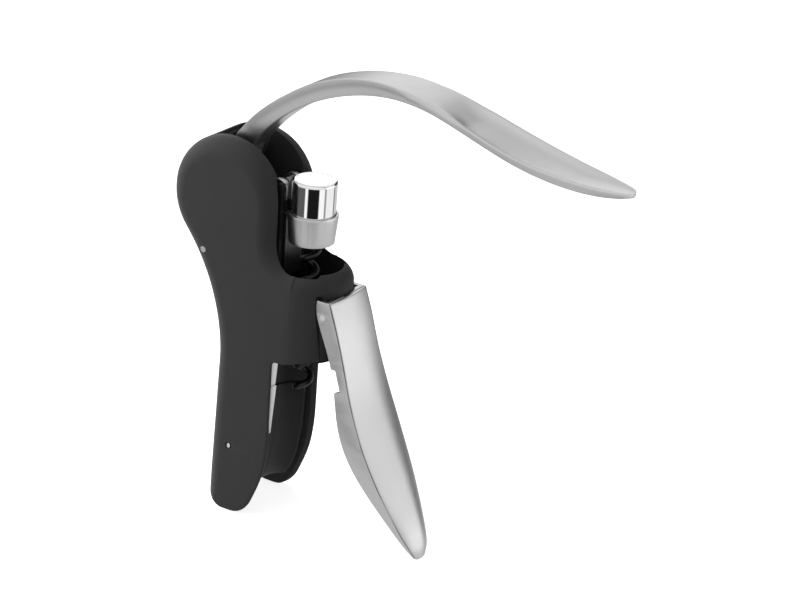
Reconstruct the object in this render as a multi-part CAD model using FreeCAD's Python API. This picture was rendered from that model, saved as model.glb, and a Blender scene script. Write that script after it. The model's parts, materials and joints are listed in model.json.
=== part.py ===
import FreeCAD, Part
import os
from math import acos, atan2, cos, degrees, pi, radians, sin, sqrt, tan

# Compact lever corkscrew, in millimetres.
# Origin: on the worm's axis, at the level of the surface it stands on.
# +Z runs up the worm, +X points to the front handle, +Y to the right-hand side.
# Every piece is a solid of its own. The rest pose has the lever raised and the front handle open.

os.makedirs("parts", exist_ok=True)
Vec = FreeCAD.Vector

# ---------------------------------------------------------------- driving sizes
# Housing: two moulded halves that meet on Y = 0
barrel_radius = 18.4          # outside of the barrel, and half the housing's width
barrel_wall = 2.9
barrel_bottom = 75.0
barrel_top = 115.0
housing_wall = 2.8
back_x = -35.5                # straight back of the legs
back_curve_radius = 82.0      # hollow sweep from the back up into the lobe
lobe_x = -34.0
lobe_z = 137.0
lobe_radius = 26.2
leg_front_x = -3.0
leg_front_knee_z = 40.0       # the leg's front edge starts to curve back here
leg_front_bow = (1.9, 22.0)   # how far the front edge has curved back at this height
leg_sole_front_x = -20.5
leg_toe_radius = 12.5
leg_toe_end = -16.0           # the toe's round ends at this angle
leg_heel_radius = 11.0
cheek_core_inset = 4.5        # the cheeks' inside is this much narrower behind the bore
rim_fillet = 11.0             # hollow between the barrel's rim and the cheeks
rim_lip = 1.5                 # how much thicker the barrel's wall is at its rim
rim_lip_height = 7.0
slot_half_width = 9.5         # gap between the two cheeks
slot_rear = 9.0               # the slot in the roof reaches this far behind the lobe's centre
back_edge_radius = 8.0
front_edge_radius = 7.5
foot_edge_radius = 1.5
parting_gap = 0.02

# Lever pivot and rack drive
pivot_x = -42.0
pivot_z = 114.7
axle_radius = 1.5
axle_end_radius = 1.2
gear_module = 1.4
gear_teeth = 40               # teeth of the whole circle, of which a sector is made
pressure_angle = 20.0
gear_backlash = 0.16
root_depth = 1.25 * gear_module
sector_half_width = 3.0
sector_low = -11.0            # the teeth reach from here to there, in the rest pose
sector_high = 70.0
sector_rim = 5.5
sector_hub = 3.4
sector_window_radius = 8.5
sector_spoke_deg = 7.0        # half the angle that a spoke takes
sector_arm = (74.0, 80.3)     # the arm that reaches into the lever's fork, in the rest pose
arm_foot_angles = (-20.0, 165.0)  # where the arm's two sides leave the hub
arm_foot_inset = 0.9          # how far inside the hub's round they start
arm_end_play = 0.4            # between the arm's end and the bottom of the fork
bush_outer = 2.2
spacer_radius = 3.2
side_play = 0.15
lever_up_deg = 4.0            # travel above the rest pose
lever_down_deg = 62.0         # travel below it

# Lever: its upper and lower lines from the side, and its half width from above
lever_top = [(-34.6, 163.0), (-24.1, 175.0), (-13.5, 183.5), (-3.0, 190.3), (12.6, 196.7), (32.0, 199.9),
             (53.0, 197.8), (74.0, 191.7), (95.0, 185.6), (116.0, 181.8), (140.0, 180.0)]
lever_bottom = [(-26.2, 160.6), (-18.2, 170.2), (-7.7, 178.9), (7.9, 187.5), (23.8, 192.6), (40.3, 195.0),
                (53.0, 194.2), (67.0, 190.6), (88.0, 184.2), (109.0, 178.9), (124.0, 177.2), (140.0, 178.3)]
lever_widths = [(-14.0, 7.4), (20.0, 7.6), (36.0, 9.2), (53.0, 11.4), (74.0, 12.7), (95.0, 13.2),
                (112.0, 11.6), (126.0, 8.9), (135.0, 5.6)]
lever_tail_half_width = 6.5
lever_tail_x = -27.0          # the widths above start here
lever_tail_angles = (71.5, 83.5)
lever_tip_x = 139.0
tail_start_radius = 34.5      # where the fork begins, from the pivot
fork_depth_radius = 46.5
rivet_radius = 1.5
rivet_places = (38.0, 43.5)   # from the pivot
rivet_angle = 77.0
bumper_thickness = 2.4
bumper_heights = (-11.0, -3.0)  # below the crown
bumper_inset = 0.5            # how much narrower it is than the lever's tail, each side

# Carriage
plate_inner = 3.7
plate_outer = 6.2
plate_x = -13.5
plate_top_z = 144.5
plate_round = 4.3
plate_bottom_z = 107.0
rail_above_plate = 3.5        # how far the rails reach above the middle of the plates' round tops
ring_radius = 10.5
ring_foot_radius = 9.5
ring_bottom = 124.0
ring_top = 136.3
ring_bore = 7.5
ring_recess = 2.0             # how deep the cap sinks into the ring
ring_lip = 1.2                # keeps the worm's bearing up in the ring
ring_foot_height = 11.0
web_front_x = -8.3
rack_half_width = 3.0
rack_back_x = -9.8
rack_bottom = 107.6
rack_top = 148.6
rack_pin_radius = 1.1
rack_pin_heights = (128.0, 140.5)
roller_radius = 2.2
roller_pin_radius = 1.0
roller_heights = (112.0, 144.0)
rail_half_width_x = 4.1
rail_side_play = 0.7          # between a side plate and its rail
rail_floor = 0.4              # what is left of a rail under its groove
groove_end_play = 0.6
rail_play = 0.1

# Worm
worm_pitch = 9.5
worm_wire_radius = 1.4
worm_coil_radius = 3.05
worm_tip_z = 59.0            # where the wire starts to narrow to its point
worm_point = 4.5
worm_phase = -130.0           # where the wire starts, as a turn about the worm's axis
worm_point_radius = 0.25
shank_radius = 4.8
shank_bottom = 122.0
spindle_radius = 3.0
spindle_top = 143.0
cap_radius = 9.3
cap_top = 150.4
cap_wall = 1.1
cap_edge = 1.2
screw_radius = 1.5
screw_head_radius = 2.9
screw_head_height = 2.0
screw_length = 8.6
screw_seat = 1.6              # how far the screw's head sits above the spindle's end
clip_depth = 0.6              # depth of the groove for the retaining ring
clip_thickness = 0.7
clip_stand = 0.4              # how far the retaining ring stands out of its groove
washer_radius = 7.0
washer_thickness = 1.6
shank_above_bearing = 1.0
clip_height = 0.5             # of the groove above the foot of the shank
screw_hole_spare = 2.0        # how much deeper the screw's hole is than the screw
screw_slot_half_width = 0.4
screw_slot_depth = 0.8
screw_head_play = 0.3         # round the head
cap_seat_play = 0.25          # round the cap in the ring's recess
cap_rest_play = 0.1           # under the cap

# Worm guide, fixed in the barrel
guide_bottom = 75.6
guide_top = 85.6
guide_outer = 7.6
guide_bore_play = 0.35        # around the worm's turns
guide_pin_radius = 1.1
guide_pin_reach = 0.4         # how far the pins reach in past the middle of the wire
bridge_thickness = 2.0
bridge_rear_x = -4.0
bridge_seat = 0.4             # from the guide's foot up to the bridge
rail_top_play = 0.1           # between the rails' feet and the roof of the barrel

# Neck cradle and its plate
neck_radius = 15.0
cradle_bottom = 16.0
cradle_top = 68.0
grip_top = 53.5               # above this the cradle stands back, clear of the worm's point
grip_relief = 1.0
cradle_half_angle = 60.0
jaw_plate_thickness = 1.5
jaw_plate_relief = 0.6        # how far the plate stands back above the grip
jaw_top = 66.0
jaw_tip = 32.0
jaw_half_width = 3.8
jaw_waist = 0.62              # width of the plate half way down, as a share of its top
jaw_tip_half_width = 0.5
jaw_play = 0.15
cradle_play = 0.2
cradle_back_play = 0.5        # behind the cradle
lower_pin_x = -23.6
lower_pin_z = 30.7
pin_radius = 1.2

# Front handle: sections from the top down, as the height, how far the back edge, the side seam and
# the crown lie in front of the barrel, and the half width
clamp_sections = [
    (105.4, -5.5, 0.2, 2.2, 13.2),
    (95.0, -3.9, 4.0, 6.0, 13.2),
    (81.0, 1.9, 8.4, 10.6, 13.2),
    (66.0, 6.2, 13.4, 16.4, 14.2),
    (48.0, 10.9, 20.8, 25.0, 14.8),
    (30.0, 21.4, 29.6, 34.0, 13.2),
    (14.0, 33.8, 37.8, 41.8, 9.6),
    (5.0, 40.2, 42.4, 44.9, 6.4),
    (0.0, 43.0, 43.8, 45.2, 3.2),
]
clamp_notch = [(-3.4, 77.2), (5.2, 77.6), (8.4, 69.2), (4.6, 67.2), (-3.4, 69.0)]
clamp_pivot_inset = 2.6       # from the barrel's front to the handle's pivot
clamp_pivot_z = 98.5
clamp_pin_radius = 1.3
clamp_close_deg = 18.0
clamp_flange = 2.0            # thickness of the frame's side walls
clamp_floor = 1.8             # thickness of the frame's front wall
clamp_pocket_run = 12.0       # the frame's hollow is cut this far out behind its back edge
seam_gap = 0.25
pad_bottom = 42.0
pad_top = 62.0
pad_half_width = 9.0
pad_back_x = 19.0
pad_stem_half_width = 4.0
clamp_rivet_heights = (34.0, 72.0)
clamp_rivet_depth = 1.2       # how far the rivets reach into the cover
clamp_rivet_tail = 2.0        # and out of the frame's back
clamp_pin_inset = 0.1         # from the pin's end to the frame's outer face
clamp_slot = [(6.1, 107.0), (6.1, 102.0), (3.8, 78.0)]  # rear edge: behind the barrel's front, and height
clamp_slot_play = (0.3, 0.4)  # inside and outside of the handle's side walls
lug_width = 2.6
lug_radius = 2.3
spring_heights = (78.0, 91.0)
spring_thickness = 0.5
spring_half_width = 3.5
spring_head_gap = 0.5         # between the strip's upper end and the frame, while it isn't pressed
spring_bow_rise = 1.0         # its bow is this far above the middle of its height
barrel_clearance = 0.4
clearance_above_slot = 6.0    # the handle's sides stand clear of the barrel up to here
clearance_below = 0.5
lug_clearance = 0.25
lug_side_play = 0.1

running = 0.05                # radial play of a running fit
slip = 0.02                   # radial play of a fixed pin

# ---------------------------------------------------------------- derived sizes
bore_radius = barrel_radius - barrel_wall
crown_z = lobe_z + lobe_radius
slot_rear_x = lobe_x - slot_rear
pitch_radius = gear_module * gear_teeth / 2.0
rack_pitch_x = pivot_x + pitch_radius
travel_down = pitch_radius * radians(lever_down_deg)
travel_up = pitch_radius * radians(lever_up_deg)
rack_tip_x = rack_pitch_x - gear_module
rack_root_x = rack_pitch_x + root_depth
rack_pin_x = (rack_root_x + rack_back_x) / 2.0
clamp_pivot_x = barrel_radius - clamp_pivot_inset
clamp_top_half_width = clamp_sections[0][-1]
clamp_slot_inner = clamp_top_half_width - clamp_flange - clamp_slot_play[0]
clamp_slot_outer = clamp_top_half_width + clamp_slot_play[1]
cap_bottom = ring_top - ring_recess + cap_rest_play
bearing_top = cap_bottom - washer_thickness
shank_top = bearing_top + shank_above_bearing
clip_bottom = shank_bottom + clip_height
lug_outer = clamp_slot_inner
lug_inner = lug_outer - lug_width
far = 250.0                   # beyond every piece


# ---------------------------------------------------------------- helpers
def block(x0, x1, y0, y1, z0, z1):
    return Part.makeBox(x1 - x0, y1 - y0, z1 - z0, Vec(x0, y0, z0))


def rod(radius, start, end):
    start, end = Vec(*start), Vec(*end)
    return Part.makeCylinder(radius, (end - start).Length, start, end - start)


def upright(radius, z0, z1, x=0.0, y=0.0):
    return rod(radius, (x, y, z0), (x, y, z1))


def cross_rod(radius, x, z, y0, y1):
    return rod(radius, (x, y0, z), (x, y1, z))


def at(x, z):
    return Vec(x, 0, z)


def line(a, b):
    return Part.LineSegment(a, b).toShape()


def arc(a, through, b):
    return Part.Arc(a, through, b).toShape()


def curve(points):
    spline = Part.BSplineCurve()
    spline.interpolate(points)
    return spline.toShape()


def prism(edges, half_width):
    """A side outline, in the plane Y = 0, thickened to both sides."""
    face = Part.Face(Part.Wire(Part.__sortEdges__(edges)))
    face.translate(Vec(0, -half_width, 0))
    return face.extrude(Vec(0, 2 * half_width, 0))


def polygon(points):
    return [line(points[i], points[(i + 1) % len(points)]) for i in range(len(points))]


def on_circle(x, z, radius, angle):
    return at(x + radius * cos(radians(angle)), z + radius * sin(radians(angle)))


def mirrored(shape):
    return shape.mirror(Vec(0, 0, 0), Vec(0, 1, 0))


def pair(shape):
    """The same piece on both sides, as two solids."""
    return Part.Compound([shape, mirrored(shape)])


def turned(shape, angle, x, z):
    copy = shape.copy()
    copy.rotate(Vec(x, 0, z), Vec(0, 1, 0), angle)
    return copy


def save(node, shape):
    shape.exportStep("parts/" + node + ".step")
    print(node, len(shape.Solids), round(shape.Volume, 1), shape.isValid())


# ---------------------------------------------------------------- housing
def side_outline(inset):
    """Housing outline from the side; an inset one stays open to the front and the foot."""
    centre_x = back_x - back_curve_radius
    centre_z = lobe_z - sqrt((lobe_radius + back_curve_radius) ** 2 - (lobe_x - centre_x) ** 2)
    join = degrees(atan2(centre_z - lobe_z, centre_x - lobe_x)) + 360.0
    lobe_r = lobe_radius - inset
    sweep_r = back_curve_radius + inset
    back = back_x + inset
    to_lobe = on_circle(lobe_x, lobe_z, lobe_r, join)
    sweep_middle = on_circle(centre_x, centre_z, sweep_r, (join - 180.0) / 2.0)
    sweep_start = at(back, centre_z)
    crown = on_circle(lobe_x, lobe_z, lobe_r, 90.0)
    front = on_circle(lobe_x, lobe_z, lobe_r, 0.0)
    edges = [
        arc(sweep_start, sweep_middle, to_lobe),
        arc(to_lobe, on_circle(lobe_x, lobe_z, lobe_r, (join + 90.0) / 2.0), crown),
        arc(crown, on_circle(lobe_x, lobe_z, lobe_r, 45.0), front),
    ]
    if inset:
        beyond = barrel_radius + housing_wall
        below = -housing_wall
        corner = at(beyond, front.z)
        return edges + [
            line(front, corner),
            line(corner, at(beyond, below)),
            line(at(beyond, below), at(back, below)),
            line(at(back, below), sweep_start),
        ]
    fillet_x = front.x + rim_fillet
    fillet_z = barrel_top + rim_fillet
    heel = leg_heel_radius
    knee = at(leg_front_x, leg_front_knee_z)
    sole = at(leg_sole_front_x, 0)
    bow = at(leg_front_x - leg_front_bow[0], leg_front_bow[1])
    toe = [on_circle(leg_sole_front_x, leg_toe_radius, leg_toe_radius, angle)
           for angle in (leg_toe_end, (leg_toe_end - 90.0) / 2.0)]
    diagonal = heel * (1 - sqrt(0.5))
    return edges + [
        line(front, at(front.x, fillet_z)),
        arc(at(front.x, fillet_z), on_circle(fillet_x, fillet_z, rim_fillet, 225.0),
            at(fillet_x, barrel_top)),
        line(at(fillet_x, barrel_top), at(barrel_radius, barrel_top)),
        line(at(barrel_radius, barrel_top), at(barrel_radius, barrel_bottom)),
        line(at(barrel_radius, barrel_bottom), at(leg_front_x, barrel_bottom)),
        line(at(leg_front_x, barrel_bottom), knee),
        arc(knee, bow, toe[0]),
        arc(toe[0], toe[1], sole),
        line(sole, at(back_x + heel, 0)),
        arc(at(back_x + heel, 0), at(back_x + diagonal, diagonal), at(back_x, heel)),
        line(at(back_x, heel), sweep_start),
    ]


def rounded(solid, wanted):
    """Fillet the edges that a test picks, each with its own radii."""
    document = FreeCAD.newDocument("rounding")
    source = document.addObject("Part::Feature", "source")
    source.Shape = solid
    fillet = document.addObject("Part::Fillet", "fillet")
    fillet.Base = source
    fillet.Edges = [(number + 1, *radii) for number, radii in wanted]
    document.recompute()
    result = fillet.Shape.copy()
    FreeCAD.closeDocument(document.Name)
    return result


def edge_radii(start, middle, end):
    """Radii of the rounding at the two ends of an edge of the flank, or None where it stays sharp."""
    if middle.z < leg_heel_radius and middle.x < back_x + leg_heel_radius:
        radii = (back_edge_radius, foot_edge_radius)
        return radii if start.z > end.z else radii[::-1]
    if middle.x < lobe_x - 1.0:
        return (back_edge_radius, back_edge_radius)
    if middle.z < barrel_bottom - 1.0:
        return (foot_edge_radius, foot_edge_radius)
    if middle.z > lobe_z and middle.x < lobe_x + lobe_radius:
        radii = (back_edge_radius, front_edge_radius)
        return radii if start.z > end.z else radii[::-1]
    if middle.z > barrel_top + 0.5:
        return (front_edge_radius, front_edge_radius)
    return None


def housing_body():
    body = prism(side_outline(0.0), barrel_radius)
    wanted = []
    for number, edge in enumerate(body.Edges):
        box = edge.BoundBox
        if abs(abs(box.YMin) - barrel_radius) > 0.01 or box.YLength > 0.01:
            continue
        first, last = edge.FirstParameter, edge.LastParameter
        radii = edge_radii(edge.valueAt(first), edge.valueAt((first + last) / 2.0), edge.valueAt(last))
        if radii:
            wanted.append((number, radii))
    return rounded(body, wanted)


def housing():
    body = housing_body()
    top = crown_z + 1
    plan = block(-far, 0, -barrel_radius, barrel_radius, -1, top)
    body = body.common(plan.fuse(upright(barrel_radius, -1, top)))
    ceiling = barrel_top - housing_wall
    wide = prism(side_outline(back_edge_radius), bore_radius)
    middle = prism(side_outline(housing_wall), bore_radius - cheek_core_inset)
    below = block(-far, far, -far, far, -far, ceiling)
    front_of_bore = block(0, far, -far, far, -far, far)
    body = body.cut(wide.common(below).cut(front_of_bore))
    body = body.cut(middle.common(below).cut(front_of_bore))
    body = body.cut(prism(side_outline(housing_wall), slot_half_width).cut(front_of_bore))
    bore = upright(bore_radius, -1, top)
    lip = bore.common(upright(far, barrel_top - rim_lip_height, barrel_top))
    lip = lip.cut(upright(bore_radius - rim_lip, 0, top)).common(front_of_bore)
    lip = lip.cut(block(0, rim_fillet, -far, far, 0, far))
    body = body.cut(bore.cut(lip))
    body = body.cut(block(slot_rear_x, far, -slot_half_width, slot_half_width, lobe_z, top))
    # a rounded shoulder round the barrel's rim
    turn_z = barrel_top - front_edge_radius
    turn_radius = barrel_radius - front_edge_radius
    shoulder = upright(far, turn_z, barrel_top + 1).cut(upright(turn_radius, 0, far))
    shoulder = shoulder.cut(Part.makeTorus(turn_radius, front_edge_radius, Vec(0, 0, turn_z)))
    rim_start = lobe_x + lobe_radius + rim_fillet
    body = body.cut(shoulder.common(block(rim_start, far, -far, far, 0, far)))
    # slots in the barrel for the front handle's side walls, and the lugs between them
    rear = [at(barrel_radius - inset, z) for inset, z in clamp_slot]
    outline = polygon(rear + [at(far, rear[-1].z), at(far, rear[0].z)])
    slots = prism(outline, clamp_slot_outer).cut(prism(outline, clamp_slot_inner))
    body = body.cut(slots)
    lug = cross_rod(lug_radius, clamp_pivot_x, clamp_pivot_z, lug_inner, lug_outer)
    web = block(0, clamp_pivot_x, lug_inner, lug_outer, clamp_pivot_z - lug_radius,
                clamp_pivot_z + lug_radius)
    lug = lug.fuse(web.cut(upright(bore_radius, 0, far)))
    body = body.fuse(lug).fuse(mirrored(lug))
    body = body.cut(cross_rod(clamp_pin_radius + slip, clamp_pivot_x, clamp_pivot_z, -far, far))
    # room for the lever's hub, and cross holes for its axle and for the lower pin
    hub_room = max(spacer_radius, sector_hub) + running
    body = body.cut(cross_rod(hub_room, pivot_x, pivot_z, -slot_half_width, slot_half_width))
    body = body.cut(cross_rod(axle_end_radius + slip, pivot_x, pivot_z, -far, far))
    body = body.cut(cross_rod(pin_radius + slip, lower_pin_x, lower_pin_z, -far, far))
    return body.removeSplitter()


def housing_halves():
    body = housing()
    right = body.common(block(-far, far, parting_gap / 2, far, -far, far))
    left = body.common(block(-far, far, -far, -parting_gap / 2, -far, far))
    save("housing_left", left)
    save("housing_right", right)


# ---------------------------------------------------------------- neck cradle
def jaw_prism(play):
    """The plate's shield outline, seen from the front, as a prism along X."""
    half = jaw_half_width + play
    top = jaw_top + play
    tip = jaw_tip - 2 * play
    points = [
        Vec(0, -half, top),
        Vec(0, half, top),
        Vec(0, jaw_waist * half, (top + tip) / 2.0),
        Vec(0, jaw_tip_half_width, tip),
        Vec(0, -jaw_tip_half_width, tip),
        Vec(0, -jaw_waist * half, (top + tip) / 2.0),
    ]
    face = Part.Face(Part.Wire(polygon(points)))
    face.translate(Vec(back_x, 0, 0))
    return face.extrude(Vec(-back_x, 0, 0))


def neck_pieces():
    half = bore_radius - cradle_play
    front = -neck_radius * cos(radians(cradle_half_angle))
    back = back_x + back_edge_radius + cradle_back_play
    cradle = block(back, front, -half, half, cradle_bottom, cradle_top)
    cradle = cradle.cut(upright(neck_radius, 0, barrel_bottom))
    cradle = cradle.cut(upright(neck_radius + grip_relief, grip_top, barrel_bottom))
    shell = upright(neck_radius + jaw_plate_thickness, 0, barrel_bottom)
    recess = shell.common(jaw_prism(jaw_play))
    cradle = cradle.cut(recess)
    hole = cross_rod(pin_radius + slip, lower_pin_x, lower_pin_z, -far, far)
    save("neck_cradle", cradle.cut(hole))
    plate = shell.cut(upright(neck_radius, 0, barrel_bottom)).common(jaw_prism(0.0))
    plate = plate.cut(upright(neck_radius + jaw_plate_relief, grip_top, barrel_bottom))
    save("rear_jaw_plate", plate)
    save("lower_pin", cross_rod(pin_radius, lower_pin_x, lower_pin_z, -barrel_radius, barrel_radius))


# ---------------------------------------------------------------- lever pivot and sector gear
def tooth_flank(half_angle_at_pitch):
    """One involute flank of the sector's teeth, from below the root to the tip."""
    tip = pitch_radius + gear_module
    foot = pitch_radius - root_depth - 0.3
    base = pitch_radius * cos(radians(pressure_angle))
    at_pitch = tan(acos(base / pitch_radius)) - acos(base / pitch_radius)
    flank = []
    steps = 4
    for number in range(steps + 1):
        radius = foot + (tip - foot) * number / steps
        unwound = acos(min(base / radius, 1.0))
        half = half_angle_at_pitch + at_pitch - (tan(unwound) - unwound)
        flank.append((radius * cos(half), radius * sin(half)))
    return flank


def sector_disc(radius):
    return cross_rod(radius, pivot_x, pivot_z, -sector_half_width, sector_half_width)


def sector_wedge(*corners):
    """A wedge of the sector plate from the pivot, given as (radius, angle) corners."""
    points = [on_circle(pivot_x, pivot_z, radius, angle) for radius, angle in corners]
    return prism(polygon([at(pivot_x, pivot_z)] + points), sector_half_width)


def sector_gear():
    root = pitch_radius - root_depth
    step = 360.0 / gear_teeth
    third = (sector_high - sector_low) / 3.0
    beyond = 2 * root
    fan = sector_wedge(*[(beyond, sector_low + third * number) for number in range(4)])
    rim = fan.common(sector_disc(root))
    window = fan.common(sector_disc(root - sector_rim)).cut(sector_disc(sector_window_radius))
    spoke = sector_spoke_deg
    for angle in (sector_low + spoke, (sector_low + sector_high) / 2.0, sector_high - spoke):
        window = window.cut(sector_wedge((beyond, angle - spoke), (beyond, angle + spoke)))
    gear = sector_disc(sector_hub).fuse(rim.cut(window))
    arm_radius = fork_depth_radius - arm_end_play
    foot_radius = sector_hub - arm_foot_inset
    gear = gear.fuse(prism(polygon([
        on_circle(pivot_x, pivot_z, foot_radius, arm_foot_angles[0]),
        on_circle(pivot_x, pivot_z, arm_radius, sector_arm[0]),
        on_circle(pivot_x, pivot_z, arm_radius, sector_arm[1]),
        on_circle(pivot_x, pivot_z, foot_radius, arm_foot_angles[1]),
    ]), sector_half_width))
    flank = tooth_flank(pi / 2.0 / gear_teeth - gear_backlash / 4.0 / pitch_radius)
    corners = [at(pivot_x + x, pivot_z + z) for x, z in flank]
    corners += [at(pivot_x + x, pivot_z - z) for x, z in reversed(flank)]
    tooth = prism(polygon(corners), sector_half_width)
    # a tooth on each half step, so that the rack has one on each whole step
    angle = step / 2.0 + step * round(sector_low / step)
    while angle < sector_high - step / 3.0:
        gear = gear.fuse(turned(tooth, -angle, pivot_x, pivot_z))
        angle += step
    gear = gear.cut(cross_rod(bush_outer + slip, pivot_x, pivot_z, -far, far))
    return gear.cut(rivet_holes()).removeSplitter()


def rivet_holes():
    spots = [on_circle(pivot_x, pivot_z, radius, rivet_angle) for radius in rivet_places]
    return Part.Compound([cross_rod(rivet_radius + slip, spot.x, spot.z, -far, far) for spot in spots])


def pivot_pieces():
    inner = slot_half_width
    axle = cross_rod(axle_radius, pivot_x, pivot_z, -inner + side_play, inner - side_play)
    axle = axle.fuse(cross_rod(axle_end_radius, pivot_x, pivot_z, -barrel_radius, barrel_radius))
    save("lever_axle", axle)
    start = sector_half_width + side_play
    spacer = cross_rod(spacer_radius, pivot_x, pivot_z, start, inner - side_play)
    spacer = spacer.cut(cross_rod(axle_radius + slip, pivot_x, pivot_z, 0, inner))
    save("pivot_spacers", pair(spacer))
    save("sector_gear", sector_gear())
    bush = sector_disc(bush_outer)
    save("pivot_bush", bush.cut(cross_rod(axle_radius + running, pivot_x, pivot_z, -far, far)))
    spots = [on_circle(pivot_x, pivot_z, radius, rivet_angle) for radius in rivet_places]
    reach = lever_tail_half_width
    save("lever_rivets", Part.Compound([cross_rod(rivet_radius, s.x, s.z, -reach, reach) for s in spots]))


# ---------------------------------------------------------------- lever
def lever():
    tail_front, tail_back = [on_circle(pivot_x, pivot_z, tail_start_radius, angle)
                             for angle in lever_tail_angles]
    top = [at(x, z) for x, z in lever_top]
    bottom = [at(x, z) for x, z in lever_bottom]
    side = prism([
        line(tail_front, tail_back),
        line(tail_back, top[0]),
        curve(top),
        line(top[-1], bottom[-1]),
        curve(bottom),
        line(bottom[0], tail_front),
    ], far)
    widths = [(lever_tail_x, lever_tail_half_width)] + lever_widths
    left = [Vec(x, -w, 0) for x, w in widths]
    right = [Vec(x, w, 0) for x, w in widths]
    rear_left, rear_right = Vec(pivot_x, left[0].y, 0), Vec(pivot_x, right[0].y, 0)
    edges = [
        curve(left),
        arc(left[-1], Vec(lever_tip_x, 0, 0), right[-1]),
        curve(right),
        line(right[0], rear_right),
        line(rear_right, rear_left),
        line(rear_left, left[0]),
    ]
    plan = Part.Face(Part.Wire(Part.__sortEdges__(edges))).extrude(Vec(0, 0, far))
    body = side.common(plan)
    fork = cross_rod(fork_depth_radius, pivot_x, pivot_z, -sector_half_width - slip, sector_half_width + slip)
    return body.cut(fork).cut(rivet_holes())


# ---------------------------------------------------------------- carriage
def rack():
    pitch = pi * gear_module
    bar = block(rack_root_x, rack_back_x, -rack_half_width, rack_half_width, rack_bottom, rack_top)
    lean = tan(radians(pressure_angle))
    half = pitch / 4.0 - gear_backlash / 4.0
    sunk = 0.2
    wide = half + lean * (root_depth + sunk)
    narrow = half - lean * gear_module
    first = int((rack_bottom + wide - pivot_z) / pitch)
    last = int((rack_top - wide - pivot_z) / pitch)
    for number in range(first, last + 1):
        z = pivot_z + number * pitch
        bar = bar.fuse(prism(polygon([
            at(rack_root_x + sunk, z - wide),
            at(rack_tip_x, z - narrow),
            at(rack_tip_x, z + narrow),
            at(rack_root_x + sunk, z + wide),
        ]), rack_half_width))
    return bar.cut(rack_pin_holes()).removeSplitter()


def rack_pin_holes():
    radius = rack_pin_radius + slip
    return Part.Compound([cross_rod(radius, rack_pin_x, z, -far, far) for z in rack_pin_heights])


def carriage():
    left = plate_x - plate_round
    right = plate_x + plate_round
    plate = block(left, right, plate_inner, plate_outer, plate_bottom_z, plate_top_z)
    plate = plate.fuse(cross_rod(plate_round, plate_x, plate_top_z, plate_inner, plate_outer))
    web = block(rack_back_x + running, web_front_x, -plate_outer, plate_outer, plate_bottom_z, ring_top)
    ring = Part.makeCone(ring_foot_radius, ring_radius, ring_foot_height, Vec(0, 0, ring_bottom))
    ring = ring.fuse(upright(ring_radius, ring_bottom + ring_foot_height, ring_top))
    body = ring.fuse(web).fuse(plate).fuse(mirrored(plate))
    body = body.cut(upright(ring_bore, ring_bottom + ring_lip, far))
    body = body.cut(upright(cap_radius + cap_seat_play, ring_top - ring_recess, far))
    body = body.cut(upright(shank_radius + clip_depth, plate_bottom_z - 1, ring_top))
    body = body.cut(block(-far, rack_back_x + running, -plate_inner, plate_inner, 0, far))
    body = body.cut(rack_pin_holes())
    for z in roller_heights:
        body = body.cut(cross_rod(roller_pin_radius + slip, plate_x, z, -far, far))
    return body.removeSplitter()


def carriage_pieces():
    save("carriage", carriage())
    save("rack", rack())
    save("rack_pins", Part.Compound([cross_rod(rack_pin_radius, rack_pin_x, z, -plate_outer, plate_outer)
                                     for z in rack_pin_heights]))
    rollers, pins = [], []
    for z in roller_heights:
        outer = slot_half_width - rail_floor - rail_play
        roller = cross_rod(roller_radius, plate_x, z, plate_outer + rail_side_play - rail_play, outer)
        roller = roller.cut(cross_rod(roller_pin_radius + running, plate_x, z, 0, far))
        rollers += [roller, mirrored(roller)]
        stub = cross_rod(roller_pin_radius, plate_x, z, plate_inner, outer - rail_play)
        pins += [stub, mirrored(stub)]
    save("guide_rollers", Part.Compound(rollers))
    save("roller_pins", Part.Compound(pins))
    bearing = upright(ring_bore - slip, ring_bottom + ring_lip + running, bearing_top)
    save("worm_bearing", bearing.cut(upright(shank_radius + running, 0, far)))


def guide_rails():
    inner = plate_outer + rail_side_play
    left = plate_x - rail_half_width_x
    right = plate_x + rail_half_width_x
    bottom = guide_bottom + bridge_thickness + bridge_seat
    rail = block(left, right, inner, slot_half_width - slip, bottom, plate_top_z + rail_above_plate)
    foot = block(left, right, inner, bore_radius - running, bottom, barrel_top - housing_wall - rail_top_play)
    rail = rail.fuse(foot.cut(upright(bore_radius, 0, far)).cut(block(web_front_x, far, -far, far, 0, far)))
    half = roller_radius + rail_play
    end = roller_radius + groove_end_play
    groove = block(plate_x - half, plate_x + half, 0, slot_half_width - rail_floor,
                   roller_heights[0] - travel_down - end, roller_heights[1] + travel_up + end)
    rail = rail.cut(groove)
    save("guide_rail_right", rail)
    save("guide_rail_left", mirrored(rail))


# ---------------------------------------------------------------- worm
def worm():
    length = shank_bottom + worm_wire_radius - worm_tip_z
    helix = Part.makeHelix(worm_pitch, length, worm_coil_radius)
    helix.translate(Vec(0, 0, worm_tip_z))
    start = Vec(worm_coil_radius, 0, worm_tip_z)
    rise = Vec(0, 2 * pi * worm_coil_radius, worm_pitch)
    section = Part.Wire(Part.makeCircle(worm_wire_radius, start, rise))
    coil = Part.Wire(helix.Edges).makePipeShell([section], True, True)
    rise.normalize()
    point = Part.makeCone(worm_point_radius, worm_wire_radius, worm_point, start - rise * worm_point, rise)
    joint = Part.makeSphere(worm_wire_radius, start)
    body = coil.fuse(joint).fuse(point)
    body = body.fuse(upright(shank_radius, shank_bottom, shank_top))
    body = body.fuse(upright(spindle_radius, shank_top, spindle_top))
    body.rotate(Vec(0, 0, 0), Vec(0, 0, 1), worm_phase)
    groove = upright(far, clip_bottom - running, clip_bottom + clip_thickness + running)
    body = body.cut(groove.cut(upright(shank_radius - clip_depth, 0, far)))
    screw_end = spindle_top + screw_seat - screw_length
    return body.cut(upright(screw_radius + slip, screw_end - screw_hole_spare, far))


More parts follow.
